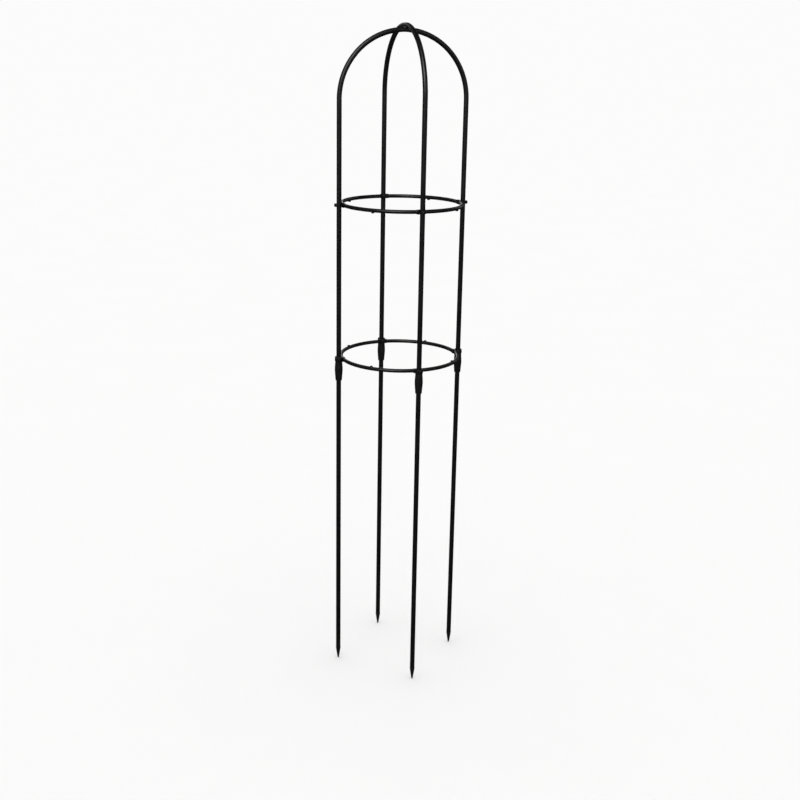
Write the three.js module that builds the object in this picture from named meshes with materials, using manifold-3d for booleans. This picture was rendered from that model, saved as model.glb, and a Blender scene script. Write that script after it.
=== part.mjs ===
// A garden obelisk for climbing plants: two bent steel hoops cross at the top and stand on four straight lower
// legs. Plastic sleeves join the hoops to the legs, and two steel rings are screwed inside the four legs.
// Sizes are in millimetres. +Z is up, z = 0 is the ground at the tips of the feet, -Y is the front.

import * as THREE from "three";
import { mergeVertices } from "three/addons/utils/BufferGeometryUtils.js";
import Module from "manifold-3d";

const wasm = await Module();
wasm.setup();

// ---- Driving sizes -------------------------------------------------------------------------------------------

const HEIGHT = 1500; // ground to the top of the upper hoop
const LEG_CIRCLE = 145; // radius of the circle that the four leg axes stand on, and of each hoop's bend
const TUBE_RADIUS = 5.5;
const TUBE_WALL = 0.8;
const CROSSING_THICK = 9.6; // each hoop's tube is pressed down to this thickness where the two cross
const RING_ROD_RADIUS = 4.25;
const RING_SPACING = 350; // lower ring to upper ring
const UPPER_RING_BELOW_BEND = 225; // upper ring to where the lower hoop starts to bend
const GAP = 0.3; // clearance left between pieces that touch

// ---- Sizes worked out from them ------------------------------------------------------------------------------

const TUBE_BORE = TUBE_RADIUS - TUBE_WALL;
const OVER_BEND_Z = HEIGHT - CROSSING_THICK / 2 - LEG_CIRCLE;
const UNDER_BEND_Z = OVER_BEND_Z - CROSSING_THICK - GAP;
const UPPER_RING_Z = UNDER_BEND_Z - UPPER_RING_BELOW_BEND;
const LOWER_RING_Z = UPPER_RING_Z - RING_SPACING;
const RING_CIRCLE = LEG_CIRCLE - TUBE_RADIUS - GAP - RING_ROD_RADIUS;

// Each ring's rod is pressed flat where it meets a leg, and has a small nub halfway between the legs.
const PAD = { thick: 5, length: 17, tall: 10.5 };
const PAD_BLEND = 1; // length of pad that runs into the round rod at each end
const NUB = { radius: 3.7, proud: 2 };

// Sleeve heights are measured from the lower ring's plane.
const SLEEVE_TOP = 6;
const SLEEVE_BOTTOM = -50;
const SLEEVE_BORE = TUBE_RADIUS + GAP;
const STOP_RIB = { top: -24, bottom: -26, radius: TUBE_BORE };
const COLLAR_RADIUS = 8.8;

const HOOP_END_Z = LOWER_RING_Z + STOP_RIB.top + GAP;
const LEG_TOP_Z = LOWER_RING_Z + STOP_RIB.bottom - GAP;
const LEG_BOTTOM_Z = 30;

const SHANK_RADIUS = 1.85;
const SCREW_HOLE = SHANK_RADIUS + 0.35;
const HEAD_RADIUS = 3.8;
const NUT = { flats: 7, thick: 3.2 };
const SHANK_PAST_NUT = 1.2;
const WASHER = { radius: 4, thick: 2.1 };
const UPPER_HEAD_TALL = 2.6;
const LOWER_HEAD_TALL = 2.2;
const HEAD_SEAT = 6.5; // distance from a sleeve's axis to the floor of the pocket its screw head sits in

const FOOT = { radius: 5.7, shoulder: 3, tip: 1.6, plug: 15 };

// The same four legs seen from above, as angles anticlockwise from +X.
const LEGS = [
  { side: "right", turn: 0 },
  { side: "back", turn: Math.PI / 2 },
  { side: "left", turn: Math.PI },
  { side: "front", turn: -Math.PI / 2 },
];

// ---- Materials -----------------------------------------------------------------------------------------------

const coatedSteel = new THREE.MeshStandardMaterial({ color: 0x1c1d1c, roughness: 0.38, metalness: 0.0 });
const sleevePlastic = new THREE.MeshStandardMaterial({ color: 0x191d1a, roughness: 0.5, metalness: 0.0 });
const blackScrew = new THREE.MeshStandardMaterial({ color: 0x161616, roughness: 0.42, metalness: 0.6 });

// ---- Helpers -------------------------------------------------------------------------------------------------

// A closed three.js geometry as a solid that can be added to and cut.
function solid(geometry) {
  const bare = geometry.index ? geometry.toNonIndexed() : geometry.clone();
  bare.deleteAttribute("normal");
  bare.deleteAttribute("uv");
  const merged = mergeVertices(bare, 1e-4);
  return new wasm.Manifold(
    new wasm.Mesh({
      numProp: 3,
      vertProperties: merged.attributes.position.array,
      triVerts: new Uint32Array(merged.index.array),
    }),
  );
}

function meshOf(name, body, material) {
  const made = body.getMesh();
  const geometry = new THREE.BufferGeometry();
  geometry.setAttribute("position", new THREE.BufferAttribute(new Float32Array(made.vertProperties), 3));
  geometry.setIndex(new THREE.BufferAttribute(new Uint32Array(made.triVerts), 1));
  geometry.computeVertexNormals();
  const mesh = new THREE.Mesh(geometry, material);
  mesh.name = name;
  return mesh;
}

// A round bar along X from one x to another, at a height above the local origin.
function barAlongX(radius, fromX, toX, z, sides) {
  const bar = new THREE.CylinderGeometry(radius, radius, toX - fromX, sides);
  bar.rotateZ(-Math.PI / 2);
  bar.translate((fromX + toX) / 2, 0, z);
  return solid(bar);
}

// A box given by its low and high corners.
function box(low, high) {
  const block = new THREE.BoxGeometry(high[0] - low[0], high[1] - low[1], high[2] - low[2]);
  block.translate((low[0] + high[0]) / 2, (low[1] + high[1]) / 2, (low[2] + high[2]) / 2);
  return solid(block);
}

// A turned piece about Z. The profile is a list of [radius, z], going anticlockwise with radius to the right.
function turned(profile, sides) {
  const points = profile.map(([radius, z]) => new THREE.Vector2(radius, z));
  const lathe = new THREE.LatheGeometry(points, sides);
  lathe.rotateX(Math.PI / 2);
  return solid(lathe);
}

function circlePoints(radius, sides) {
  return new THREE.EllipseCurve(0, 0, radius, radius).getPoints(sides).slice(0, sides);
}

function tubeSection() {
  const section = new THREE.Shape(circlePoints(TUBE_RADIUS, 16));
  section.holes.push(new THREE.Path(circlePoints(TUBE_BORE, 12)));
  return section;
}

// Puts a leg's own pieces in place: their local +X points out from the obelisk's centre, along the leg's turn.
function standAtLeg(mesh, turn, z) {
  mesh.position.set(LEG_CIRCLE * Math.cos(turn), LEG_CIRCLE * Math.sin(turn), z);
  mesh.rotation.z = turn;
  return mesh;
}

// ---- Hoops ---------------------------------------------------------------------------------------------------

// The centre line of a hoop in the XZ plane: up one leg, round half a circle, and down the other leg.
// Each straight is one step of the sweep and the bend is the rest.
class HoopLine extends THREE.Curve {
  constructor(bendZ, bendSteps) {
    super();
    this.bendZ = bendZ;
    this.bendSteps = bendSteps;
    this.steps = bendSteps + 2;
  }

  getPointAt(u, target = new THREE.Vector3()) {
    const step = u * this.steps;
    if (step < 1) {
      return target.set(LEG_CIRCLE, 0, HOOP_END_Z + (this.bendZ - HOOP_END_Z) * step);
    }
    if (step > this.steps - 1) {
      return target.set(-LEG_CIRCLE, 0, HOOP_END_Z + (this.bendZ - HOOP_END_Z) * (this.steps - step));
    }
    const angle = (Math.PI * (step - 1)) / this.bendSteps;
    return target.set(LEG_CIRCLE * Math.cos(angle), 0, this.bendZ + LEG_CIRCLE * Math.sin(angle));
  }

  getTangentAt(u, target = new THREE.Vector3()) {
    const angle = (Math.PI * (u * this.steps - 1)) / this.bendSteps;
    const held = Math.min(Math.max(angle, 0), Math.PI);
    return target.set(-Math.sin(held), 0, Math.cos(held));
  }
}

// Presses the tube oval at the very top of a hoop, where the other hoop crosses it.
function pressAtCrossing(body, bendZ) {
  const axisZ = bendZ + LEG_CIRCLE;
  const thinner = CROSSING_THICK / (2 * TUBE_RADIUS);
  const wider = 1.1;
  return body.warp((vertex) => {
    if (vertex[2] > bendZ && Math.abs(vertex[0]) < 1) {
      vertex[1] *= wider;
      vertex[2] = axisZ + (vertex[2] - axisZ) * thinner;
    }
  });
}

// One hoop, drilled through each leg where the two rings are screwed on.
function hoop(name, bendZ, turn) {
  const line = new HoopLine(bendZ, 30);
  const swept = new THREE.ExtrudeGeometry(tubeSection(), { steps: line.steps, extrudePath: line });
  let body = pressAtCrossing(solid(swept), bendZ);
  for (const side of [-1, 1]) {
    for (const ringZ of [LOWER_RING_Z, UPPER_RING_Z]) {
      const middle = side * LEG_CIRCLE;
      const reach = 2 * TUBE_RADIUS;
      body = body.subtract(barAlongX(SCREW_HOLE, middle - reach, middle + reach, ringZ, 12));
    }
  }
  const mesh = meshOf(name, body, coatedSteel);
  mesh.rotation.z = turn;
  return mesh;
}

// ---- Rings ---------------------------------------------------------------------------------------------------

// One ring about its own centre, nubs pointing up. The rod is pressed flat and drilled at each leg.
function ringBody() {
  const { thick, length, tall } = PAD;
  const padOuter = RING_CIRCLE + RING_ROD_RADIUS;
  const reach = 3 * RING_ROD_RADIUS;
  let body = solid(new THREE.TorusGeometry(RING_CIRCLE, RING_ROD_RADIUS, 12, 64));
  for (const { turn } of LEGS) {
    const degrees = THREE.MathUtils.radToDeg(turn);
    const cutHalf = length / 2 - PAD_BLEND;
    const clear = box([padOuter - reach, -cutHalf, -reach], [padOuter + 1, cutHalf, reach]);
    const pad = box([padOuter - thick, -length / 2, -tall / 2], [padOuter, length / 2, tall / 2]);
    const hole = barAlongX(SCREW_HOLE, padOuter - reach, padOuter + 1, 0, 12);
    body = body.subtract(clear.rotate([0, 0, degrees]));
    body = body.add(pad.rotate([0, 0, degrees]));
    body = body.subtract(hole.rotate([0, 0, degrees]));

    const stub = new THREE.CylinderGeometry(NUB.radius - 0.5, NUB.radius, RING_ROD_RADIUS + NUB.proud, 12);
    stub.rotateX(Math.PI / 2);
    stub.translate(RING_CIRCLE, 0, (RING_ROD_RADIUS + NUB.proud) / 2);
    body = body.add(solid(stub).rotate([0, 0, degrees + 45]));
  }
  return body;
}

// The two rings are alike, and the upper one is turned over so its nubs point down.
function rings() {
  const lower = meshOf("ring_lower", ringBody(), coatedSteel);
  lower.position.z = LOWER_RING_Z;
  const upper = meshOf("ring_upper", ringBody().rotate([180, 0, 0]), coatedSteel);
  upper.position.z = UPPER_RING_Z;
  return [lower, upper];
}

// ---- Sleeves -------------------------------------------------------------------------------------------------

// The plastic sleeve about its own axis, origin in the lower ring's plane. It has a bulge round the joint, a
// collar at the ring, a rib inside that both tubes stop against, and a notch where the ring's pad goes in.
function sleeveBody() {
  const bulge = new THREE.SplineCurve([
    new THREE.Vector2(7.3, SLEEVE_BOTTOM),
    new THREE.Vector2(8.1, SLEEVE_BOTTOM + 10),
    new THREE.Vector2(9.1, SLEEVE_BOTTOM + 25),
    new THREE.Vector2(8.6, SLEEVE_BOTTOM + 36),
    new THREE.Vector2(7.9, SLEEVE_BOTTOM + 44.5),
  ]);
  const outside = bulge.getPoints(9).map((point) => [point.x, point.y]);
  const collar = [
    [COLLAR_RADIUS, -4.2],
    [COLLAR_RADIUS, SLEEVE_TOP - 0.9],
    [COLLAR_RADIUS - 0.9, SLEEVE_TOP],
  ];
  const inside = [
    [SLEEVE_BORE, SLEEVE_TOP],
    [SLEEVE_BORE, STOP_RIB.top],
    [STOP_RIB.radius, STOP_RIB.top],
    [STOP_RIB.radius, STOP_RIB.bottom],
    [SLEEVE_BORE, STOP_RIB.bottom],
    [SLEEVE_BORE, SLEEVE_BOTTOM],
  ];
  const first = outside[0];
  const shell = turned([...outside, ...collar, ...inside, first], 24);

  const notchFace = -(SLEEVE_BORE - GAP);
  const notchFloor = -(PAD.tall / 2 + GAP);
  const past = 2 * COLLAR_RADIUS;
  const notch = box([-past, -past, notchFloor], [notchFace, past, past]);
  const screwHole = barAlongX(SCREW_HOLE, 0, past, 0, 12);
  const headPocket = barAlongX(HEAD_RADIUS + GAP, HEAD_SEAT, past, 0, 20);
  return shell.subtract(notch).subtract(screwHole).subtract(headPocket);
}

// ---- Lower legs and feet -------------------------------------------------------------------------------------

function lowerLegBody() {
  const swept = new THREE.ExtrudeGeometry(tubeSection(), {
    depth: LEG_TOP_Z - LEG_BOTTOM_Z,
    bevelEnabled: false,
  });
  return solid(swept);
}

// A pointed plug that closes the leg's lower end and goes into the soil. Its tip is cut off flat.
function footBody() {
  const plugRadius = TUBE_BORE - GAP;
  const shoulderTop = LEG_BOTTOM_Z - GAP;
  return turned(
    [
      [0, 0],
      [FOOT.tip, 0],
      [FOOT.radius, shoulderTop - FOOT.shoulder],
      [FOOT.radius, shoulderTop],
      [plugRadius, shoulderTop],
      [plugRadius, shoulderTop + FOOT.plug - 1],
      [plugRadius - 1, shoulderTop + FOOT.plug],
      [0, shoulderTop + FOOT.plug],
    ],
    16,
  );
}

// ---- Screws, nuts and saddle washers -------------------------------------------------------------------------
// All lie along local X with the leg's axis at x = 0. The head is outside the leg and the nut inside the ring.

const PAD_OUTER_X = -(TUBE_RADIUS + GAP);
const NUT_OUTER_X = PAD_OUTER_X - PAD.thick - GAP;
const SCREW_TIP_X = NUT_OUTER_X - NUT.thick - SHANK_PAST_NUT;

function screwBody(headX, headTall) {
  const chamfer = 0.7;
  const shank = barAlongX(SHANK_RADIUS, SCREW_TIP_X, headX + 1, 0, 12);
  const head = turned(
    [
      [0, 0],
      [HEAD_RADIUS, 0],
      [HEAD_RADIUS, headTall - chamfer],
      [HEAD_RADIUS - chamfer, headTall],
      [0, headTall],
    ],
    16,
  )
    .rotate([0, 90, 0])
    .translate([headX, 0, 0]);
  const slotHalf = 0.5;
  const slotReach = 2.1;
  const slotFloor = headX + headTall - 1.2;
  const past = headX + headTall + 1;
  const slotAcross = box([slotFloor, -slotReach, -slotHalf], [past, slotReach, slotHalf]);
  const slotUpright = box([slotFloor, -slotHalf, -slotReach], [past, slotHalf, slotReach]);
  return head.add(shank).subtract(slotAcross).subtract(slotUpright);
}

function nutBody() {
  const cornerRadius = NUT.flats / 2 / Math.cos(Math.PI / 6);
  const hex = barAlongX(cornerRadius, NUT_OUTER_X - NUT.thick, NUT_OUTER_X, 0, 6);
  return hex.subtract(barAlongX(SCREW_HOLE, NUT_OUTER_X - 2 * NUT.thick, 0, 0, 12));
}

// A washer hollowed to sit on the round tube, so the flat screw head has a flat seat.
function washerBody() {
  const top = TUBE_RADIUS + GAP + WASHER.thick;
  const disc = barAlongX(WASHER.radius, 1, top, 0, 16);
  const saddle = new THREE.CylinderGeometry(TUBE_RADIUS + GAP, TUBE_RADIUS + GAP, 4 * WASHER.radius, 32);
  saddle.rotateX(Math.PI / 2);
  return disc.subtract(solid(saddle)).subtract(barAlongX(SCREW_HOLE, 0, 2 * top, 0, 12));
}

// ---- The whole obelisk ---------------------------------------------------------------------------------------

const obelisk = new THREE.Group();
obelisk.name = "garden_obelisk";
obelisk.add(hoop("hoop_under", UNDER_BEND_Z, 0));
obelisk.add(hoop("hoop_over", OVER_BEND_Z, Math.PI / 2));
obelisk.add(...rings());

const upperHeadX = TUBE_RADIUS + GAP + WASHER.thick + GAP;
const lowerHeadX = HEAD_SEAT + GAP;
const legPieces = [
  { name: "sleeve", body: sleeveBody(), material: sleevePlastic, z: LOWER_RING_Z },
  { name: "lower_leg", body: lowerLegBody(), material: coatedSteel, z: LEG_BOTTOM_Z },
  { name: "foot", body: footBody(), material: sleevePlastic, z: 0 },
  { name: "lower_screw", body: screwBody(lowerHeadX, LOWER_HEAD_TALL), material: blackScrew, z: LOWER_RING_Z },
  { name: "lower_nut", body: nutBody(), material: blackScrew, z: LOWER_RING_Z },
  { name: "upper_screw", body: screwBody(upperHeadX, UPPER_HEAD_TALL), material: blackScrew, z: UPPER_RING_Z },
  { name: "upper_nut", body: nutBody(), material: blackScrew, z: UPPER_RING_Z },
  { name: "upper_washer", body: washerBody(), material: sleevePlastic, z: UPPER_RING_Z },
];
for (const { name, body, material, z } of legPieces) {
  for (const { side, turn } of LEGS) {
    obelisk.add(standAtLeg(meshOf(name + "_" + side, body, material), turn, z));
  }
}

export default obelisk;
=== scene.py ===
"""Looks for the garden obelisk: two crossing tube hoops on four plugged-in legs, with two rings inside.

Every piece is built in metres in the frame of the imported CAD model, and its place comes from that
model's nodes. +Z is up, z = 0 is the ground at the tips of the feet, and -Y is the front.
"""

import math

import bmesh
import bpy
from mathutils import Matrix, Vector


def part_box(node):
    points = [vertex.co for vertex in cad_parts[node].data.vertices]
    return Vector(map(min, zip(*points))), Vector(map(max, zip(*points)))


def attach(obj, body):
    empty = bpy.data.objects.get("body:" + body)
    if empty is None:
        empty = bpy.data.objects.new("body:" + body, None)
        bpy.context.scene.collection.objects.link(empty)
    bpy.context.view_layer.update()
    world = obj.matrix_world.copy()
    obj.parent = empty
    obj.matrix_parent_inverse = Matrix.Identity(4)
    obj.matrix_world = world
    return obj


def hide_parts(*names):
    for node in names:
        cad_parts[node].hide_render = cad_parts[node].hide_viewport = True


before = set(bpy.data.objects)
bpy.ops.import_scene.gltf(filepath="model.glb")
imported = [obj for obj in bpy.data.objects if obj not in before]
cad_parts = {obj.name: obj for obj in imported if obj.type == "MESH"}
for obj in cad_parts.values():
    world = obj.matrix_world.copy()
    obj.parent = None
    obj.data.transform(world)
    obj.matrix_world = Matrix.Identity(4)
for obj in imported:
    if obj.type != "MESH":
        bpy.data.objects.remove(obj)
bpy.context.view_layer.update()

MM = 0.001
SIDES = ("right", "back", "left", "front")


# ---- Camera -------------------------------------------------------------------------------------

CAMERA_DISTANCE = 2.589  # level distance from the obelisk's centre line
CAMERA_HEIGHT = 1.4538
CAMERA_AZIMUTH = 17.73  # degrees to the left of the front
CAMERA_PAN = 0.08  # degrees to the right
CAMERA_PITCH = 17.12  # degrees downwards
CAMERA_ROLL = 1.04  # degrees anticlockwise
LENS = 51.87
SENSOR = 36.0


def make_camera():
    data = bpy.data.cameras.new("photo_camera")
    data.sensor_width = SENSOR
    data.lens = LENS
    camera = bpy.data.objects.new("photo_camera", data)
    bpy.context.scene.collection.objects.link(camera)
    azimuth = math.radians(CAMERA_AZIMUTH)
    place = Vector((-math.sin(azimuth), -math.cos(azimuth), 0)) * CAMERA_DISTANCE
    place.z = CAMERA_HEIGHT
    heading = Matrix.Rotation(-azimuth - math.radians(CAMERA_PAN), 4, "Z")
    tilt = Matrix.Rotation(math.radians(90 - CAMERA_PITCH), 4, "X")
    roll = Matrix.Rotation(math.radians(CAMERA_ROLL), 4, "Z")
    camera.matrix_world = Matrix.Translation(place) @ heading @ tilt @ roll
    bpy.context.scene.camera = camera


make_camera()


# ---- Sizes read from the CAD model --------------------------------------------------------------

leg_low, leg_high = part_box("lower_leg_right")
hoop_low, hoop_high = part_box("hoop_under")
over_low, over_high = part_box("hoop_over")
ring_low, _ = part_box("ring_lower")
_, upper_ring_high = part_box("ring_upper")
sleeve_low, sleeve_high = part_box("sleeve_right")
_, foot_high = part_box("foot_right")

TUBE_RADIUS = (leg_high.y - leg_low.y) / 2
LEG_CIRCLE = (leg_high.x + leg_low.x) / 2

# The same driving sizes as the CAD model has.
TUBE_BORE = TUBE_RADIUS - 0.8 * MM
CROSSING_THICK = 9.6 * MM  # of each hoop's tube, pressed down where the two cross
CROSSING_WIDER = 0.1  # share by which the pressed tube spreads sideways
GAP = 0.3 * MM
RING_ROD = 4.25 * MM
PAD_THICK = 5 * MM
PAD_TALL = 10.5 * MM
PAD_FLAT = 7 * MM  # half the length of the flat part of a pad
PAD_BLEND = 5 * MM  # length over which the flat turns back into a round rod
NUB_RADIUS = 3.8 * MM
NUB_PROUD = 2 * MM
SLEEVE_BORE = TUBE_RADIUS + GAP
COLLAR_RADIUS = 8.8 * MM
RIB_TOP = -24 * MM  # of the stop rib inside the sleeve, from the ring's height
RIB_BOTTOM = -26 * MM
SCREW_HOLE = 2.2 * MM
HEAD_RADIUS = 3.8 * MM
HEAD_SEAT = 6.5 * MM
NUT_FLATS = 7 * MM
NUT_THICK = 3.2 * MM
WASHER_RADIUS = 4 * MM
WASHER_THICK = 2.1 * MM
TIP_PROUD = 1.2 * MM  # of the screw's tip past its nut

RING_CIRCLE = LEG_CIRCLE - TUBE_RADIUS - GAP - RING_ROD
LOWER_RING_Z = ring_low.z + PAD_TALL / 2
UPPER_RING_Z = upper_ring_high.z - PAD_TALL / 2
PAD_OUTER_X = -(TUBE_RADIUS + GAP)
NUT_OUTER_X = PAD_OUTER_X - PAD_THICK - GAP
TIP_X = NUT_OUTER_X - NUT_THICK - TIP_PROUD


# ---- Mesh helpers -------------------------------------------------------------------------------

SHARP_DEGREES = 35  # edges that turn more than this look sharp


def ease(share):
    """A smooth step from 0 to 1."""
    held = min(max(share, 0.0), 1.0)
    return held * held * (3 - 2 * held)


def quads(row_count, column_count, close_rows):
    """Faces of a grid of vertices whose columns close on themselves, and whose rows may."""
    faces = []
    last = row_count if close_rows else row_count - 1
    for row in range(last):
        here = row * column_count
        there = ((row + 1) % row_count) * column_count
        for column in range(column_count):
            beside = (column + 1) % column_count
            faces.append((here + column, here + beside, there + beside, there + column))
    return faces


def grid_mesh(name, rows, close_rows=False, sharp_degrees=SHARP_DEGREES):
    """A closed smooth mesh from loops of points. Open row ends are capped."""
    column_count = len(rows[0])
    points = [point for row in rows for point in row]
    faces = quads(len(rows), column_count, close_rows)
    if not close_rows:
        faces.append(tuple(range(column_count)))
        start = (len(rows) - 1) * column_count
        faces.append(tuple(range(start, start + column_count)))
    mesh = bpy.data.meshes.new(name)
    mesh.from_pydata(points, [], faces)
    face_outwards(mesh)
    smooth(mesh, sharp_degrees)
    return mesh


def face_outwards(mesh):
    work = bmesh.new()
    work.from_mesh(mesh)
    bmesh.ops.recalc_face_normals(work, faces=work.faces)
    if work.calc_volume(signed=True) < 0:
        bmesh.ops.reverse_faces(work, faces=work.faces)
    work.to_mesh(mesh)
    work.free()


def smooth(mesh, sharp_degrees):
    for polygon in mesh.polygons:
        polygon.use_smooth = True
    mesh.set_sharp_from_angle(angle=math.radians(sharp_degrees))


def mark_stock(mesh, place_on_stock):
    """Stores each point's place on the straight stock its piece was bent from, for the material."""
    attribute = mesh.attributes.new("made", "FLOAT_VECTOR", "POINT")
    for vertex in mesh.vertices:
        attribute.data[vertex.index].vector = place_on_stock(vertex.co)


WALL_FACING = 0.95  # faces that look this squarely along the radius are wall, not a drilled hole


def round_normals(mesh, offset_from_axis, below):
    """Shades a tube below a height as truly round, as its flat faces beside a drilled hole are not."""
    normals = [Vector(corner.vector) for corner in mesh.corner_normals]
    for polygon in mesh.polygons:
        if polygon.center.z > below:
            continue
        for corner in polygon.loop_indices:
            point = mesh.vertices[mesh.loops[corner].vertex_index].co
            outwards = offset_from_axis(point).normalized()
            facing = polygon.normal.dot(outwards)
            if abs(facing) > WALL_FACING:
                normals[corner] = outwards * math.copysign(1, facing)
    mesh.normals_split_custom_set(normals)


def circle(radius, sides, height=0.0):
    turns = [2 * math.pi * side / sides for side in range(sides)]
    return [Vector((radius * math.cos(turn), radius * math.sin(turn), height)) for turn in turns]


def turned_solid(name, profile, sides):
    """A turned piece about Z that is solid to the axis. Its first and last loops are capped."""
    rows = [circle(radius, sides, height) for radius, height in profile]
    return grid_mesh(name, rows)


SIDE_SHARE = 0.45  # most of a side that one of its two rounded corners may take
NEARLY_STRAIGHT = math.radians(165)  # a corner this open is left as it is


def rounded(profile, radius, steps=4):
    """A closed profile with its corners rounded. Corners with short sides get a smaller radius."""
    result = []
    count = len(profile)
    for index in range(count):
        corner = Vector(profile[index])
        before = Vector(profile[index - 1]) - corner
        after = Vector(profile[(index + 1) % count]) - corner
        reach = min(radius, before.length * SIDE_SHARE, after.length * SIDE_SHARE)
        if before.angle(after) > NEARLY_STRAIGHT:
            result.append(tuple(corner))
            continue
        start = corner + before.normalized() * reach
        end = corner + after.normalized() * reach
        for step in range(steps + 1):
            share = step / steps
            near = start.lerp(corner, share)
            far = corner.lerp(end, share)
            result.append(tuple(near.lerp(far, share)))
    return result


def cut(mesh, *cutters):
    """Takes the cutter meshes away from a mesh, and returns the new mesh."""
    scene = bpy.context.scene
    holder = bpy.data.objects.new("cut_work", mesh)
    scene.collection.objects.link(holder)
    tools = []
    for cutter in cutters:
        tool = bpy.data.objects.new("cutter", cutter)
        scene.collection.objects.link(tool)
        modifier = holder.modifiers.new("cut", "BOOLEAN")
        modifier.operation = "DIFFERENCE"
        modifier.solver = "EXACT"
        modifier.object = tool
        tools.append(tool)
    bpy.context.view_layer.update()
    evaluated = holder.evaluated_get(bpy.context.evaluated_depsgraph_get())
    result = bpy.data.meshes.new_from_object(evaluated)
    for tool in tools:
        bpy.data.objects.remove(tool)
    bpy.data.objects.remove(holder)
    smooth(result, SHARP_DEGREES)
    return result


def rod_along_x(radius, from_x, to_x, z=0.0, sides=32):
    rows = []
    for x in (from_x, to_x):
        rows.append([Vector((x, point.x, point.y + z)) for point in circle(radius, sides)])
    return grid_mesh("rod", rows)


def block(low, high):
    corners = [(low[0], low[1]), (high[0], low[1]), (high[0], high[1]), (low[0], high[1])]
    rows = [[Vector((x, y, z)) for x, y in corners] for z in (low[2], high[2])]
    return grid_mesh("block", rows)


def add_piece(name, mesh, matrix, body, node, slot, material):
    """Puts a mesh in place as the shown piece for one CAD node."""
    own = mesh.copy()
    own.transform(matrix)
    own.name = name
    own.materials.clear()
    own.materials.append(material)
    piece = bpy.data.objects.new(name, own)
    bpy.context.scene.collection.objects.link(piece)
    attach(piece, body)
    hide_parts(node)
    return piece


def leg_matrix(side, z):
    """Places a leg's own pieces: their +X points outwards, and their Z axis is the leg's."""
    turn = SIDES.index(side) * math.pi / 2
    return Matrix.Rotation(turn, 4, "Z") @ Matrix.Translation((LEG_CIRCLE, 0, z))


# ---- Materials ----------------------------------------------------------------------------------


class Nodes:
    """A short way to write a node material. Noise scales are per metre and bump distances in metres."""

    def __init__(self, name):
        self.material = bpy.data.materials.new(name)
        self.material.use_nodes = True
        self.tree = self.material.node_tree
        self.shader = self.tree.nodes["Principled BSDF"]

    def add(self, kind, **settings):
        node = self.tree.nodes.new(kind)
        for key, value in settings.items():
            setattr(node, key, value)
        return node

    def link(self, source, target):
        self.tree.links.new(source, target)

    def made_at(self, stretch=(1, 1, 1)):
        """The point's place on the straight stock, scaled along its three axes."""
        place = self.add("ShaderNodeAttribute", attribute_name="made")
        scale = self.add("ShaderNodeVectorMath", operation="MULTIPLY")
        scale.inputs[1].default_value = stretch
        self.link(place.outputs["Vector"], scale.inputs[0])
        return scale.outputs["Vector"]

    def in_place(self):
        """The point's place in the object's frame, so that copies of one piece differ."""
        return self.add("ShaderNodeTexCoord").outputs["Object"]

    def noise(self, vector, scale, detail=2.0, roughness=0.5):
        node = self.add("ShaderNodeTexNoise")
        node.inputs["Scale"].default_value = scale
        node.inputs["Detail"].default_value = detail
        node.inputs["Roughness"].default_value = roughness
        self.link(vector, node.inputs["Vector"])
        return node.outputs["Fac"]

    def ranged(self, value, low, high, to_low, to_high):
        node = self.add("ShaderNodeMapRange")
        for socket, number in zip(node.inputs[1:5], (low, high, to_low, to_high)):
            socket.default_value = number
        self.link(value, node.inputs[0])
        return node.outputs[0]

    def colours(self, value, low, high):
        node = self.add("ShaderNodeMix", data_type="RGBA")
        node.inputs["A"].default_value = (*low, 1)
        node.inputs["B"].default_value = (*high, 1)
        self.link(value, node.inputs["Factor"])
        return node.outputs["Result"]

    def blended(self, value, low, high):
        """Mixes a colour towards another by a value, where the first is a socket."""
        node = self.add("ShaderNodeMix", data_type="RGBA")
        node.inputs["B"].default_value = (*high, 1)
        self.link(low, node.inputs["A"])
        self.link(value, node.inputs["Factor"])
        return node.outputs["Result"]

    def math(self, operation, first, second):
        node = self.add("ShaderNodeMath", operation=operation)
        for socket, value in zip(node.inputs, (first, second)):
            if isinstance(value, (int, float)):
                socket.default_value = value
            else:
                self.link(value, socket)
        return node.outputs[0]

    def bump(self, height, distance, strength=1.0, normal=None):
        node = self.add("ShaderNodeBump")
        node.inputs["Distance"].default_value = distance
        node.inputs["Strength"].default_value = strength
        self.link(height, node.inputs["Height"])
        if normal:
            self.link(normal, node.inputs["Normal"])
        return node.outputs["Normal"]

    def finish(self, colour, roughness, normal, ior, metallic=0.0):
        self.link(colour, self.shader.inputs["Base Color"])
        self.link(roughness, self.shader.inputs["Roughness"])
        self.link(normal, self.shader.inputs["Normal"])
        self.shader.inputs["IOR"].default_value = ior
        self.shader.inputs["Metallic"].default_value = metallic
        return self.material


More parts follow.
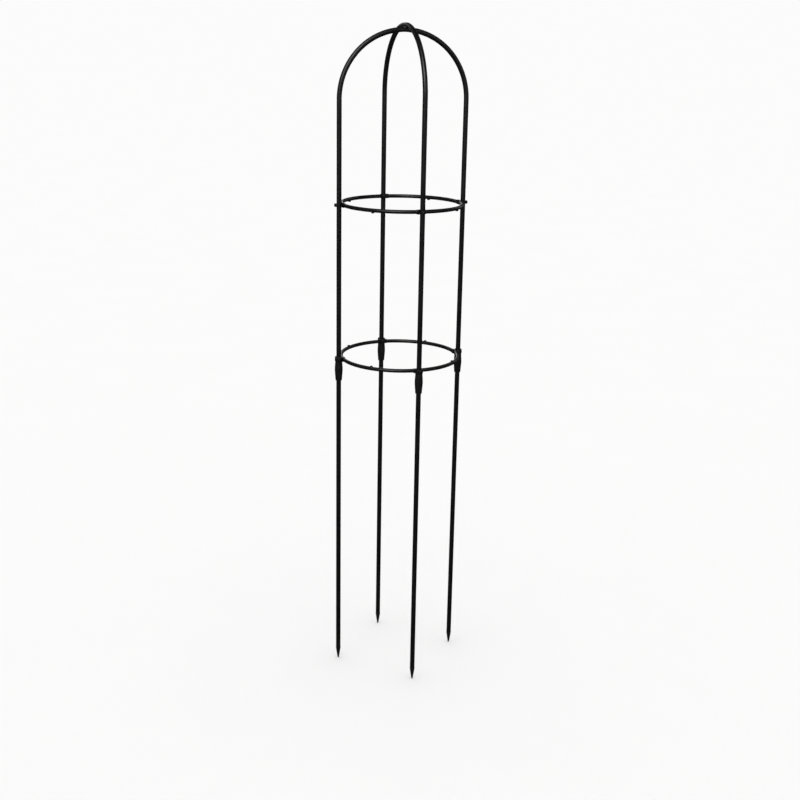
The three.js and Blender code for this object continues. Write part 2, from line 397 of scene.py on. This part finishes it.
def coating_material():
    """Black coating drawn along the tube: faint lines, a soft ripple and a fine orange peel."""
    n = Nodes("black_coating")
    lines = n.noise(n.made_at((1, 1, 0.03)), 1400, 3)
    ripple = n.noise(n.made_at((1, 1, 1.4)), 42, 2)
    peel = n.noise(n.made_at(), 1500, 2)
    smudge = n.noise(n.in_place(), 16, 5, 0.6)
    rub = n.noise(n.made_at((1, 1, 0.25)), 260, 5, 0.7)

    patch = n.ranged(smudge, 0.35, 0.7, 0, 1)
    tone = n.colours(patch, (0.0016, 0.0017, 0.0017), (0.0034, 0.0035, 0.0033))
    worn = n.ranged(rub, 0.64, 0.8, 0, 0.5)
    colour = n.blended(worn, tone, (0.009, 0.009, 0.0085))

    base_roughness = n.ranged(smudge, 0.3, 0.72, 0.34, 0.46)
    line_roughness = n.ranged(lines, 0.4, 0.7, 0.0, 0.05)
    roughness = n.math("ADD", base_roughness, line_roughness)
    roughness = n.math("ADD", roughness, n.math("MULTIPLY", worn, 0.25))

    normal = n.bump(ripple, 0.0003)
    normal = n.bump(lines, 0.000004, normal=normal)
    normal = n.bump(peel, 0.000005, normal=normal)
    return n.finish(colour, roughness, normal, ior=1.46)


def moulded_material():
    """Moulded black plastic of the sleeves, washers and feet: a fine grain and slight flow marks."""
    n = Nodes("black_plastic")
    grain = n.noise(n.in_place(), 2600, 3, 0.6)
    flow = n.noise(n.in_place(), 90, 4, 0.55)
    handled = n.noise(n.in_place(), 420, 4, 0.7)
    patch = n.ranged(flow, 0.35, 0.68, 0, 1)
    tone = n.colours(patch, (0.0024, 0.0029, 0.0027), (0.0048, 0.0056, 0.0052))
    scuff = n.ranged(handled, 0.64, 0.76, 0, 0.55)
    colour = n.blended(scuff, tone, (0.018, 0.0195, 0.0185))
    base_roughness = n.ranged(flow, 0.3, 0.7, 0.4, 0.52)
    roughness = n.math("ADD", base_roughness, n.math("MULTIPLY", scuff, 0.2))
    normal = n.bump(flow, 0.00008)
    normal = n.bump(grain, 0.00002, normal=normal)
    return n.finish(colour, roughness, normal, ior=1.46)


def screw_material():
    """Black-finished steel, rubbed brighter in small spots where a driver or spanner touched it."""
    n = Nodes("black_screw")
    rubbed = n.noise(n.in_place(), 900, 5, 0.7)
    cloud = n.noise(n.in_place(), 220, 3)
    patch = n.ranged(cloud, 0.3, 0.7, 0, 1)
    tone = n.colours(patch, (0.009, 0.009, 0.0095), (0.018, 0.018, 0.019))
    bright = n.ranged(rubbed, 0.66, 0.78, 0, 0.6)
    colour = n.blended(bright, tone, (0.11, 0.11, 0.113))
    roughness = n.ranged(cloud, 0.3, 0.7, 0.3, 0.46)
    normal = n.bump(rubbed, 0.00001)
    return n.finish(colour, roughness, normal, ior=1.5, metallic=0.55)


COATING = coating_material()
PLASTIC = moulded_material()
STEEL = screw_material()


# ---- Tubes --------------------------------------------------------------------------------------

TUBE_SIDES = 48
STRAIGHT_STEPS = 40  # up each leg of a hoop
BEND_STEPS = 96  # round its bend
LIP = 0.25 * MM  # rounding of a cut tube end
PRESSED_HALF = 5 * MM  # half the length of tube that is fully pressed down at the crossing
PRESSED_BLEND = 13 * MM  # length over which it turns round again on each side


def tube_mesh(name, stations):
    """A hollow tube along stations of (centre, two directions across the tube), with rounded ends."""
    middle = (TUBE_RADIUS + TUBE_BORE) / 2
    rows = []

    def ring(station, radius, shift=0.0):
        centre, across, aside = station
        ahead = across.cross(aside) * shift
        loop = []
        for point in circle(radius, TUBE_SIDES):
            loop.append(centre + across * point.x + aside * point.y + ahead)
        rows.append(loop)

    first, last = stations[0], stations[-1]
    ring(first, middle)
    ring(first, TUBE_RADIUS - LIP)
    ring(first, TUBE_RADIUS, LIP)
    for station in stations[1:-1]:
        ring(station, TUBE_RADIUS)
    ring(last, TUBE_RADIUS, -LIP)
    ring(last, TUBE_RADIUS - LIP)
    ring(last, middle)
    ring(last, TUBE_BORE)
    for station in reversed(stations[1:-1]):
        ring(station, TUBE_BORE)
    ring(first, TUBE_BORE)
    return grid_mesh(name, rows, close_rows=True, sharp_degrees=50)


def hoop_outwards(point, bend_z):
    """The direction, in the hoop's plane, from the middle of the hoop to its axis beside a point."""
    if point.z < bend_z:
        return Vector((math.copysign(1, point.x), 0, 0))
    return Vector((point.x, 0, point.z - bend_z)).normalized()


def hoop_offset(point, bend_z):
    """How far a point of the hoop lies from the axis of its tube."""
    centre = hoop_outwards(point, bend_z) * LEG_CIRCLE
    centre.z += min(point.z, bend_z)
    return point - centre


def hoop_run(point, low_z, bend_z):
    """How far along its tube a point of the hoop lies, from the foot of its +X leg."""
    straight = bend_z - low_z
    if point.z < bend_z:
        climb = point.z - low_z
        return climb if point.x > 0 else 2 * straight + math.pi * LEG_CIRCLE - climb
    return straight + LEG_CIRCLE * math.atan2(point.z - bend_z, point.x)


def pressed(from_crossing):
    """How far the tube is pressed down at a distance from the crossing: 1 flattest, 0 round."""
    return 1 - ease((abs(from_crossing) - PRESSED_HALF) / PRESSED_BLEND)


def hoop_stations(low_z, bend_z):
    """Stations along a hoop in the XZ plane: up the +X leg, round the bend and down the -X leg."""
    right, left, aside = Vector((1, 0, 0)), Vector((-1, 0, 0)), Vector((0, 1, 0))
    bend_centre = Vector((0, 0, bend_z))
    heights = [low_z + (bend_z - low_z) * step / STRAIGHT_STEPS for step in range(STRAIGHT_STEPS)]
    stations = [(right * LEG_CIRCLE + Vector((0, 0, height)), left, aside) for height in heights]
    for step in range(BEND_STEPS + 1):
        angle = math.pi * step / BEND_STEPS
        outwards = Vector((math.cos(angle), 0, math.sin(angle)))
        press = pressed(LEG_CIRCLE * (angle - math.pi / 2))
        thinner = 1 + (CROSSING_THICK / (2 * TUBE_RADIUS) - 1) * press
        wider = 1 + CROSSING_WIDER * press
        centre = outwards * LEG_CIRCLE + bend_centre
        stations.append((centre, -outwards * thinner, aside * wider))
    for height in reversed(heights):
        stations.append((left * LEG_CIRCLE + Vector((0, 0, height)), right, aside))
    return stations


DRILL_REACH = 8 * MM  # of the drill to each side of the tube's axis


def hoop_mesh(name, low_z, bend_z):
    drills = []
    for centre in (-LEG_CIRCLE, LEG_CIRCLE):
        for ring_z in (LOWER_RING_Z, UPPER_RING_Z):
            drills.append(rod_along_x(SCREW_HOLE, centre - DRILL_REACH, centre + DRILL_REACH, ring_z))
    mesh = cut(tube_mesh(name, hoop_stations(low_z, bend_z)), *drills)

    def place_on_stock(point):
        offset = hoop_offset(point, bend_z)
        return (offset.dot(hoop_outwards(point, bend_z)), offset.y, hoop_run(point, low_z, bend_z))

    mark_stock(mesh, place_on_stock)
    round_normals(mesh, lambda point: hoop_offset(point, bend_z), below=bend_z)
    return mesh


def make_hoops():
    for name, low, high, turn in (
        ("hoop_under", hoop_low, hoop_high, 0),
        ("hoop_over", over_low, over_high, math.pi / 2),
    ):
        mesh = hoop_mesh(name, low.z, high.z - CROSSING_THICK / 2 - LEG_CIRCLE)
        place = Matrix.Rotation(turn, 4, "Z")
        add_piece(name + "_tube", mesh, place, "upper_frame", name, "black_coating", COATING)


def make_lower_legs():
    length = leg_high.z - leg_low.z
    across, aside = Vector((1, 0, 0)), Vector((0, 1, 0))
    steps = 48
    heights = [length * step / steps for step in range(steps + 1)]
    mesh = tube_mesh("lower_leg", [(Vector((0, 0, z)), across, aside) for z in heights])
    mark_stock(mesh, lambda point: point)
    for side in SIDES:
        name = "lower_leg_" + side
        place = leg_matrix(side, leg_low.z)
        add_piece(name + "_tube", mesh, place, "leg_" + side, name, "black_coating", COATING)


# ---- Rings --------------------------------------------------------------------------------------

ROD_SIDES = 48
FINE_STEP = 0.4 * MM  # along the rod at its pads and nubs
COARSE_STEP = 2.2 * MM  # along the plain rod between them
MARGIN = 1 * MM  # of fine steps past a pad or nub
ROUND_POWER = 2  # exponent of a round section's outline
PAD_POWER = 6  # and of a pad's, nearly a rectangle
NUB_POWER = 8  # a nub is flat on top with a rounded edge
RING_DRILL_REACH = 10 * MM


def ring_angles():
    """Angles round a ring, close together at the pads and nubs and wider apart between them."""
    fine = FINE_STEP / RING_CIRCLE
    coarse = COARSE_STEP / RING_CIRCLE
    near_pad = (PAD_FLAT + PAD_BLEND + MARGIN) / RING_CIRCLE
    near_nub = (NUB_RADIUS + MARGIN) / RING_CIRCLE
    eighth = math.pi / 4
    angles = []
    for part in range(8):
        reach, next_reach = (near_pad, near_nub) if part % 2 == 0 else (near_nub, near_pad)
        start = part * eighth
        for low, high, step in (
            (start, start + reach, fine),
            (start + reach, start + eighth - next_reach, coarse),
            (start + eighth - next_reach, start + eighth, fine),
        ):
            count = max(1, round((high - low) / step))
            angles += [low + (high - low) * index / count for index in range(count)]
    return angles


def power(value, exponent):
    return math.copysign(abs(value) ** exponent, value)


def ring_section(angle):
    """The rod's outline at an angle round the ring, as (outwards, upwards) points."""
    quarter = math.pi / 2
    from_leg = abs((angle + quarter / 2) % quarter - quarter / 2) * RING_CIRCLE
    from_nub = abs(angle % quarter - quarter / 2) * RING_CIRCLE
    flat = ease((PAD_FLAT + PAD_BLEND - from_leg) / PAD_BLEND)
    half_thick = RING_ROD + (PAD_THICK / 2 - RING_ROD) * flat
    half_tall = RING_ROD + (PAD_TALL / 2 - RING_ROD) * flat
    shift = RING_ROD - half_thick
    squareness = ROUND_POWER + (PAD_POWER - ROUND_POWER) * flat
    section = []
    for side in range(ROD_SIDES):
        turn = 2 * math.pi * side / ROD_SIDES
        out = half_thick * power(math.cos(turn), 2 / squareness)
        up = half_tall * power(math.sin(turn), 2 / squareness)
        distance = math.hypot(out, from_nub) / NUB_RADIUS
        if distance < 1 and up > 0:
            up = max(up, (RING_ROD + NUB_PROUD) * math.sqrt(1 - distance**NUB_POWER))
        section.append((out + shift, up))
    return section


def ring_mesh():
    """One ring about its own centre with its nubs up."""
    rows = []
    for angle in ring_angles():
        outwards = Vector((math.cos(angle), math.sin(angle), 0))
        section = ring_section(angle)
        rows.append([outwards * (RING_CIRCLE + out) + Vector((0, 0, up)) for out, up in section])
    mesh = grid_mesh("ring", rows, close_rows=True, sharp_degrees=60)
    drills = []
    for corner in range(4):
        drill = rod_along_x(SCREW_HOLE, RING_CIRCLE - RING_DRILL_REACH, RING_CIRCLE + RING_DRILL_REACH)
        drill.transform(Matrix.Rotation(corner * math.pi / 2, 4, "Z"))
        drills.append(drill)
    mesh = cut(mesh, *drills)

    def place_on_stock(point):
        outwards = math.hypot(point.x, point.y) - RING_CIRCLE
        return (outwards, point.z, math.atan2(point.y, point.x) * RING_CIRCLE)

    mark_stock(mesh, place_on_stock)
    return mesh


def make_rings():
    mesh = ring_mesh()
    flip = Matrix.Rotation(math.pi, 4, "X")
    lower = Matrix.Translation((0, 0, LOWER_RING_Z))
    upper = Matrix.Translation((0, 0, UPPER_RING_Z)) @ flip
    add_piece("ring_lower_rod", mesh, lower, "upper_frame", "ring_lower", "black_coating", COATING)
    add_piece("ring_upper_rod", mesh, upper, "upper_frame", "ring_upper", "black_coating", COATING)


# ---- Sleeves ------------------------------------------------------------------------------------

SLEEVE_SIDES = 144
SLEEVE_WAIST = (  # radius, and height above the bottom
    (7.3 * MM, 0.4 * MM),
    (8.1 * MM, 10 * MM),
    (9.1 * MM, 25 * MM),
    (8.6 * MM, 36 * MM),
    (7.9 * MM, 44.5 * MM),
)
CURVE_STEPS = 8  # between two points of the waist
COLLAR_FOOT = -4.2 * MM  # where the collar's straight side starts, from the ring's height
COLLAR_ROUNDING = 0.8 * MM
SLEEVE_END = 6.9 * MM  # radius of the flat rim at the bottom
MOULD_LINE_PROUD = 0.13 * MM
MOULD_LINE_WIDTH = 0.35 * MM
MOULD_LINE_FROM = SLEEVE_BORE + 0.9 * MM  # it is on the outside only


def catmull(points, steps):
    """A smooth curve through a list of (radius, z) points."""
    padded = [points[0]] + list(points) + [points[-1]]
    result = []
    for index in range(len(points) - 1):
        a, b, c, d = (Vector(point) for point in padded[index : index + 4])
        for step in range(steps):
            t = step / steps
            place = (
                2 * b
                + (c - a) * t
                + (2 * a - 5 * b + 4 * c - d) * t * t
                + (3 * b - a - 3 * c + d) * t * t * t
            ) / 2
            result.append(tuple(place))
    result.append(tuple(points[-1]))
    return result


def sleeve_profile():
    bottom = sleeve_low.z - LOWER_RING_Z
    top = sleeve_high.z - LOWER_RING_Z
    waist = [(radius, bottom + height) for radius, height in SLEEVE_WAIST]
    outside = catmull(waist, CURVE_STEPS)
    collar_corners = [
        waist[-1],
        (COLLAR_RADIUS, COLLAR_FOOT),
        (COLLAR_RADIUS, top),
        (SLEEVE_BORE, top),
        (SLEEVE_BORE, RIB_TOP),
    ]
    collar = rounded(collar_corners, COLLAR_ROUNDING)[1:-5]  # without the joins to the other parts
    inside = [
        (SLEEVE_BORE, RIB_TOP),
        (TUBE_BORE, RIB_TOP),
        (TUBE_BORE, RIB_BOTTOM),
        (SLEEVE_BORE, RIB_BOTTOM),
        (SLEEVE_BORE, bottom + 0.6 * MM),
        (SLEEVE_BORE + 0.4 * MM, bottom + 0.1 * MM),
        (SLEEVE_BORE + 0.7 * MM, bottom),
        (SLEEVE_END, bottom),
    ]
    return outside[:-1] + collar + inside


def sleeve_mesh():
    """The sleeve about its own axis: a faint mould line down each flank, a notch and a screw pocket."""
    rows = []
    for radius, height in sleeve_profile():
        row = []
        for point in circle(1, SLEEVE_SIDES):
            proud = 0.0
            if radius > MOULD_LINE_FROM:
                proud = MOULD_LINE_PROUD * math.exp(-((point.x * radius / MOULD_LINE_WIDTH) ** 2))
            row.append(Vector((point.x * (radius + proud), point.y * (radius + proud), height)))
        rows.append(row)
    mesh = grid_mesh("sleeve", rows, close_rows=True)
    past = 3 * COLLAR_RADIUS
    notch_floor = -(PAD_TALL / 2 + GAP)
    notch = block((-past, -past, notch_floor), (-(SLEEVE_BORE - GAP), past, past))
    hole = rod_along_x(SCREW_HOLE, 0, past)
    pocket = rod_along_x(HEAD_RADIUS + GAP, HEAD_SEAT, past, sides=48)
    return cut(mesh, notch, hole, pocket)


def make_sleeves():
    mesh = sleeve_mesh()
    for side in SIDES:
        name = "sleeve_" + side
        place = leg_matrix(side, LOWER_RING_Z)
        add_piece(name + "_moulding", mesh, place, "upper_frame", name, "black_plastic", PLASTIC)


# ---- Feet ---------------------------------------------------------------------------------------

FOOT_RADIUS = 5.7 * MM
FOOT_TIP = 1.6 * MM
FOOT_SIDES = 48
TIP_EDGE = 0.25 * MM  # height of the tip's small chamfer
TAPER_STEPS = 12
TAPER_POWER = 0.92  # just under 1, so that the point swells slightly
SHOULDER_BAND = 2.4 * MM  # height of the straight shoulder under the tube
SHOULDER_EDGE = 0.3 * MM
GRIP_DEPTH = 0.3 * MM
GRIP_SPACING = 6 * MM
FIRST_GRIP = 4 * MM  # above the shoulder


def foot_mesh():
    """A pointed plug with a rounded shoulder and two grip rings on the part inside the tube."""
    shoulder = leg_low.z - GAP
    plug = TUBE_BORE - GAP
    top = foot_high.z
    taper_top = shoulder - SHOULDER_BAND - 1 * MM
    profile = [(FOOT_TIP - 0.3 * MM, 0), (FOOT_TIP, TIP_EDGE)]
    for step in range(1, TAPER_STEPS):
        share = step / TAPER_STEPS
        radius = FOOT_TIP + (FOOT_RADIUS - 0.1 * MM - FOOT_TIP) * share**TAPER_POWER
        profile.append((radius, TIP_EDGE + taper_top * share))
    profile += [
        (FOOT_RADIUS - 0.05 * MM, shoulder - SHOULDER_BAND - 0.5 * MM),
        (FOOT_RADIUS, shoulder - SHOULDER_BAND),
        (FOOT_RADIUS, shoulder - SHOULDER_EDGE),
        (FOOT_RADIUS - SHOULDER_EDGE, shoulder),
        (plug - 0.25 * MM, shoulder),
    ]
    for grip in range(2):
        middle = shoulder + FIRST_GRIP + GRIP_SPACING * grip
        profile += [
            (plug - GRIP_DEPTH, middle - 1 * MM),
            (plug, middle - 0.4 * MM),
            (plug, middle + 0.4 * MM),
            (plug - GRIP_DEPTH, middle + 1 * MM),
        ]
    profile += [(plug - GRIP_DEPTH, top - 1 * MM), (plug - 1 * MM, top)]
    return turned_solid("foot", profile, FOOT_SIDES)


def make_feet():
    mesh = foot_mesh()
    for side in SIDES:
        name = "foot_" + side
        place = leg_matrix(side, 0)
        add_piece(name + "_plug", mesh, place, "leg_" + side, name, "black_plastic", PLASTIC)


# ---- Screws, nuts and saddle washers ------------------------------------------------------------
# All lie along local X with the leg's axis at x = 0, the head outside and the nut inside the ring.

HEAD_SIDES = 48
HEAD_EDGE = 0.45  # share of the head's height that is its straight edge
HEAD_CHAMFER = 0.15 * MM
HEAD_TOP_RADIUS = 0.3 * MM  # of the small flat in the middle of the dome
DOME_STEPS = 10
DOME_POWER = 0.75  # under 1, so that the dome is low and wide
HEAD_OVERLAP = 0.5 * MM  # of the shank inside the head, before the two are joined
RECESS_REACH = 2.1 * MM
RECESS_HALF_WIDTH = 0.45 * MM
RECESS_DEPTH = 1.3 * MM
SHANK_RADIUS = 1.85 * MM
SHANK_SIDES = 24
THREAD_PITCH = 0.7 * MM
THREAD_LENGTH = 9 * MM
THREAD_STEPS = 8  # rows of points in one pitch
THREAD_PROUD = 0.12 * MM  # of the crests outside the plain shank
THREAD_DEPTH = 0.38 * MM
THREAD_FADE = 0.7 * MM  # length over which the thread runs in and out
TIP_CHAMFER = 0.35 * MM
SCREW_SHARP_DEGREES = 40
THREAD_SHARP_DEGREES = 60
NUT_SIDES = 48  # points round each loop of the nut
NUT_FACE_SHARE = 0.97  # of the distance to a flat, where the corner chamfer starts
NUT_CHAMFER = math.radians(30)
NUT_SHARP_DEGREES = 25
COUNTERSINK_WIDE = 0.3 * MM
COUNTERSINK_DEEP = 0.35 * MM
WASHER_SIDES = 64
WASHER_ROUNDING = 0.5 * MM  # of its top edge
WASHER_ROUND_MIDDLE = 0.15 * MM  # how far the middle of that rounding stands in from both faces


def along_x(mesh, x):
    """Lays a piece made about Z down along X, its Z = 0 at a given x."""
    laid = Matrix(((0, 0, 1, x), (0, 1, 0, 0), (-1, 0, 0, 0), (0, 0, 0, 1)))
    mesh.transform(laid)
    return mesh


def cross_recess(top, reach, half_width, depth):
    """A tapering cross-shaped cutter for a screw head, about Z."""

    def outline(scale, height):
        r, w = reach * scale, half_width
        arm = [(r, -w), (r, w), (w, w)]
        points = []
        for _ in range(4):
            points += arm
            arm = [(-y, x) for x, y in arm]
        return [Vector((x, y, height)) for x, y in points]

    rows = [outline(0.5, top - depth), outline(1.0, top + 0.4 * MM)]
    return grid_mesh("recess", rows)


def head_mesh(tall):
    """A low domed screw head about Z, sitting on z = 0."""
    edge = tall * HEAD_EDGE
    profile = [
        (SHANK_RADIUS, 0),
        (HEAD_RADIUS - HEAD_CHAMFER, 0),
        (HEAD_RADIUS, HEAD_CHAMFER),
        (HEAD_RADIUS, edge),
    ]
    for step in range(1, DOME_STEPS):
        angle = math.pi / 2 * step / DOME_STEPS
        radius = HEAD_RADIUS * math.cos(angle) ** DOME_POWER
        profile.append((radius, edge + (tall - edge) * math.sin(angle)))
    profile.append((HEAD_TOP_RADIUS, tall))
    head = turned_solid("head", profile, HEAD_SIDES)
    return cut(head, cross_recess(tall, RECESS_REACH, RECESS_HALF_WIDTH, RECESS_DEPTH))


def shank_mesh(length):
    """A screw shank about Z from z = 0 to its tip at z = length, with a helical thread near the tip."""
    thread_start = length - THREAD_LENGTH
    rows = [circle(SHANK_RADIUS, SHANK_SIDES, 0), circle(SHANK_RADIUS, SHANK_SIDES, thread_start)]
    step = THREAD_PITCH / THREAD_STEPS
    count = int((length - thread_start) / step)
    for index in range(1, count):
        height = thread_start + index * step
        taper = min(1.0, (length - height) / THREAD_FADE, (height - thread_start) / THREAD_FADE)
        row = []
        for side in range(SHANK_SIDES):
            turn = 2 * math.pi * side / SHANK_SIDES
            phase = (height / THREAD_PITCH - side / SHANK_SIDES) % 1.0
            depth = THREAD_DEPTH * abs(2 * phase - 1)
            radius = SHANK_RADIUS + THREAD_PROUD * taper - depth * taper
            row.append(Vector((radius * math.cos(turn), radius * math.sin(turn), height)))
        rows.append(row)
    rows.append(circle(SHANK_RADIUS - TIP_CHAMFER, SHANK_SIDES, length))
    return grid_mesh("shank", rows, sharp_degrees=THREAD_SHARP_DEGREES)


def joined(first, second):
    """Two closed meshes that share a hidden overlap, joined into one by a boolean union."""
    scene = bpy.context.scene
    base = bpy.data.objects.new("join_base", first)
    other = bpy.data.objects.new("join_other", second)
    scene.collection.objects.link(base)
    scene.collection.objects.link(other)
    modifier = base.modifiers.new("join", "BOOLEAN")
    modifier.operation = "UNION"
    modifier.solver = "EXACT"
    modifier.object = other
    bpy.context.view_layer.update()
    result = bpy.data.meshes.new_from_object(base.evaluated_get(bpy.context.evaluated_depsgraph_get()))
    bpy.data.objects.remove(base)
    bpy.data.objects.remove(other)
    smooth(result, SCREW_SHARP_DEGREES)
    return result


def screw_mesh(head_x, head_tall):
    head = along_x(head_mesh(head_tall), head_x)
    shank_start = head_x + HEAD_OVERLAP
    shank = shank_mesh(shank_start - TIP_X)
    shank.transform(Matrix.Rotation(math.pi, 4, "X"))
    shank = along_x(shank, shank_start)
    return joined(head, shank)


def nut_mesh():
    """A six-sided nut along X with chamfered corners and a countersunk bore."""
    face_radius = NUT_FLATS / 2 * NUT_FACE_SHARE
    mouth = SCREW_HOLE + COUNTERSINK_WIDE
    rows = []

    def loop(radius_at, height_at):
        row = []
        for side in range(NUT_SIDES):
            turn = 2 * math.pi * side / NUT_SIDES
            radius = radius_at(turn)
            row.append(Vector((radius * math.cos(turn), radius * math.sin(turn), height_at(radius))))
        rows.append(row)

    def hex_radius(turn):
        sixth = math.pi / 3
        return NUT_FLATS / 2 / math.cos((turn % sixth) - sixth / 2)

    def drop(radius):
        return max(0.0, radius - face_radius) * math.tan(NUT_CHAMFER)

    loop(lambda turn: SCREW_HOLE, lambda radius: COUNTERSINK_DEEP)
    loop(lambda turn: mouth, lambda radius: 0)
    loop(lambda turn: face_radius, lambda radius: 0)
    loop(hex_radius, drop)
    loop(hex_radius, lambda radius: NUT_THICK - drop(radius))
    loop(lambda turn: face_radius, lambda radius: NUT_THICK)
    loop(lambda turn: mouth, lambda radius: NUT_THICK)
    loop(lambda turn: SCREW_HOLE, lambda radius: NUT_THICK - COUNTERSINK_DEEP)
    mesh = grid_mesh("nut", rows, close_rows=True, sharp_degrees=NUT_SHARP_DEGREES)
    return along_x(mesh, NUT_OUTER_X - NUT_THICK)


def washer_mesh():
    """A saddle washer along X: hollowed underneath to sit on the tube, with a rounded top edge."""
    seat = TUBE_RADIUS + GAP
    top = seat + WASHER_THICK
    rows = []

    def loop(radius, x_at):
        row = []
        for side in range(WASHER_SIDES):
            turn = 2 * math.pi * side / WASHER_SIDES
            y = radius * math.cos(turn)
            row.append(Vector((x_at(y), y, radius * math.sin(turn))))
        rows.append(row)

    def on_tube(y):
        return math.sqrt(seat**2 - y**2)

    for share in (0, 0.33, 0.66, 1):
        radius = SCREW_HOLE + (WASHER_RADIUS - SCREW_HOLE) * share
        loop(radius, on_tube)
    loop(WASHER_RADIUS, lambda y: top - WASHER_ROUNDING)
    loop(WASHER_RADIUS - WASHER_ROUND_MIDDLE, lambda y: top - WASHER_ROUND_MIDDLE)
    loop(WASHER_RADIUS - WASHER_ROUNDING, lambda y: top)
    loop(SCREW_HOLE, lambda y: top)
    return grid_mesh("washer", rows, close_rows=True)


def make_fasteners():
    upper_head_x = TUBE_RADIUS + GAP + WASHER_THICK + GAP
    lower_head_x = HEAD_SEAT + GAP
    lower_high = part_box("lower_screw_right")[1].x - LEG_CIRCLE
    upper_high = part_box("upper_screw_right")[1].x - LEG_CIRCLE
    lower_screw = screw_mesh(lower_head_x, lower_high - lower_head_x)
    upper_screw = screw_mesh(upper_head_x, upper_high - upper_head_x)
    nut = nut_mesh()
    washer = washer_mesh()
    for side in SIDES:
        lower = leg_matrix(side, LOWER_RING_Z)
        upper = leg_matrix(side, UPPER_RING_Z)
        for name, mesh, place, slot, material in (
            ("lower_screw_", lower_screw, lower, "black_screw", STEEL),
            ("upper_screw_", upper_screw, upper, "black_screw", STEEL),
            ("lower_nut_", nut, lower, "black_screw", STEEL),
            ("upper_nut_", nut, upper, "black_screw", STEEL),
            ("upper_washer_", washer, upper, "black_plastic", PLASTIC),
        ):
            add_piece(name + side + "_piece", mesh, place, "upper_frame", name + side, slot, material)


# ---- Floor and light ----------------------------------------------------------------------------


def make_floor():
    half = 60.0
    corners = [(-half, -half, 0), (half, -half, 0), (half, half, 0), (-half, half, 0)]
    mesh = bpy.data.meshes.new("floor")
    mesh.from_pydata(corners, [], [(0, 1, 2, 3)])
    n = Nodes("floor_paint")
    mottle = n.noise(n.in_place(), 3, 3)
    colour = n.colours(mottle, (0.872, 0.872, 0.87), (0.888, 0.888, 0.886))
    roughness = n.ranged(mottle, 0.3, 0.7, 0.9, 1.0)
    normal = n.bump(mottle, 0.0001)
    mesh.materials.append(n.finish(colour, roughness, normal, ior=1.0))
    floor = bpy.data.objects.new("floor", mesh)
    bpy.context.scene.collection.objects.link(floor)
    floor.visible_glossy = False


def make_panel(name, place, target, size, radiance):
    """A soft light panel that shows only as gloss: the white surroundings do all other lighting."""
    light = bpy.data.lights.new(name, "AREA")
    light.shape = "RECTANGLE"
    light.size = size[0]
    light.size_y = size[1]
    light.energy = radiance * math.pi * size[0] * size[1]
    panel = bpy.data.objects.new(name, light)
    panel.location = place
    panel.rotation_euler = (Vector(target) - Vector(place)).to_track_quat("-Z", "Y").to_euler()
    panel.visible_diffuse = False
    panel.visible_camera = False
    bpy.context.scene.collection.objects.link(panel)


WORLD_LIGHT = 1.1  # lights the floor and the pieces
WORLD_SEEN = 0.968  # as bright as the floor under that light, so that no horizon shows
WORLD_IN_GLOSS = 0.045  # the black tubes would turn grey if they mirrored all of it


def make_world():
    """White surroundings, with a strength each for lighting, for the camera and for the gloss."""
    world = bpy.data.worlds.new("studio")
    bpy.context.scene.world = world
    world.use_nodes = True
    tree = world.node_tree
    tree.nodes.clear()
    output = tree.nodes.new("ShaderNodeOutputWorld")
    background = tree.nodes.new("ShaderNodeBackground")
    path = tree.nodes.new("ShaderNodeLightPath")
    lighting = tree.nodes.new("ShaderNodeMapRange")
    lighting.inputs["To Min"].default_value = WORLD_LIGHT
    lighting.inputs["To Max"].default_value = WORLD_IN_GLOSS
    tree.links.new(path.outputs["Is Glossy Ray"], lighting.inputs["Value"])
    strength = tree.nodes.new("ShaderNodeMapRange")
    strength.inputs["To Max"].default_value = WORLD_SEEN
    tree.links.new(path.outputs["Is Camera Ray"], strength.inputs["Value"])
    tree.links.new(lighting.outputs["Result"], strength.inputs["To Min"])
    background.inputs["Color"].default_value = (1, 1, 1, 1)
    tree.links.new(strength.outputs["Result"], background.inputs["Strength"])
    tree.links.new(background.outputs["Background"], output.inputs["Surface"])


def make_lights():
    crown = (0, 0, 1.35)
    make_panel("key_left", (-1.6, -2.3, 3.2), crown, (1.4, 2.4), 9.5)
    make_panel("fill_right", (1.75, -2.65, 2.15), crown, (1.0, 2.0), 1.5)
    make_panel("rim_right", (2.7, 1.4, 2.3), crown, (1.0, 2.4), 1.0)
    make_panel("rim_left", (-3.0, 0.3, 1.25), (0, 0, 1.25), (0.5, 2.3), 0.8)
    make_panel("crown_glow", (-0.8, 4.0, 3.0), crown, (2.0, 1.6), 0.85)
    make_panel("ring_glow", (0.8, 4.0, 1.5), (0, 0, 1), (2.0, 1.8), 1.5)
    make_world()
    bpy.context.scene.view_settings.view_transform = "Standard"


make_hoops()
make_lower_legs()
make_rings()
make_sleeves()
make_feet()
make_fasteners()
make_floor()
make_lights()
